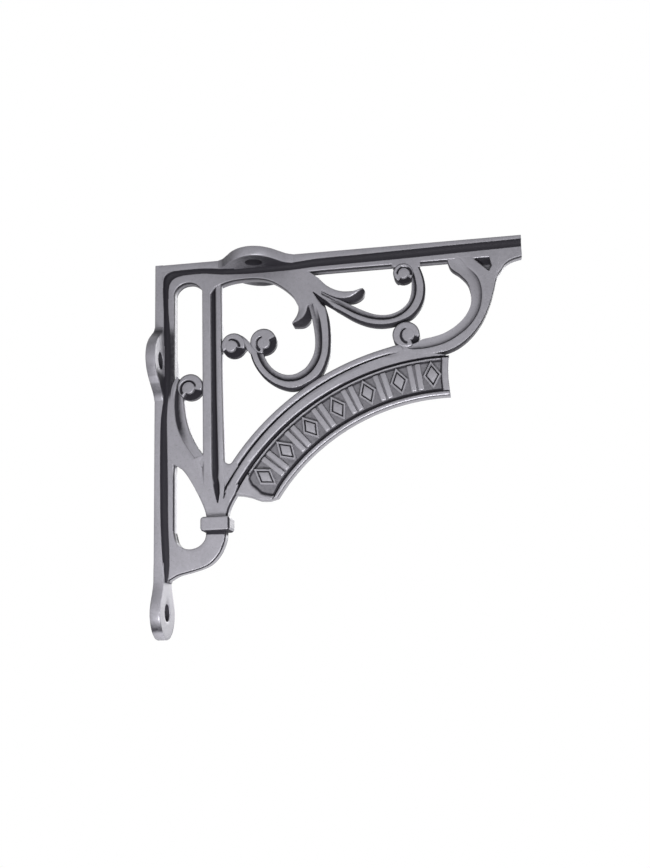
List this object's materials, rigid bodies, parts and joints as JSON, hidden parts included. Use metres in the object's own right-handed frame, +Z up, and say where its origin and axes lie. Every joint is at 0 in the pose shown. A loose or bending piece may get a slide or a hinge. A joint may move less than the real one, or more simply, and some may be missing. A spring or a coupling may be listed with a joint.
{
  "type": "shelf bracket",
  "caption": "Cast iron shelf bracket with scrolled web, arched panel, two-hole lugs on wall and shelf plates and a round-ended tab.",
  "frame": {"origin": "in the mid-plane, at the line where the wall face and the shelf face meet (top rear corner)", "axes": "+X out from the wall along the shelf arm, +Z up towards the shelf, Y across the thickness"},
  "size_m": [0.15, 0.036, 0.153],
  "materials": {
    "iron": "burnished and waxed bare cast iron",
    "iron_panel": "burnished cast iron, darker in the sunk field"
  },
  "bodies": {
    "root": {"wall_plate_upper": "iron", "wall_lug": "iron", "wall_plate_lower": "iron", "foot_tab": "iron", "shelf_plate_rear": "iron", "shelf_lug": "iron", "shelf_plate_front": "iron", "wall_rib": "iron", "shelf_rib": "iron", "corner_web": "iron", "spandrel": "iron", "post": "iron", "spur_down": "iron", "spur_right": "iron", "main_scroll": "iron", "main_eye": "iron", "bud_scroll": "iron", "bud_eye": "iron", "arm_scroll": "iron", "arm_eye": "iron", "tip_scroll": "iron", "tip_eye": "iron", "wall_scroll": "iron", "wall_eye": "iron", "arch_band": "iron", "arch_panel": "iron_panel", "panel_motifs": "iron_panel", "funnel": "iron", "collar": "iron", "foot_elbow": "iron"}
  },
  "joints": []
}
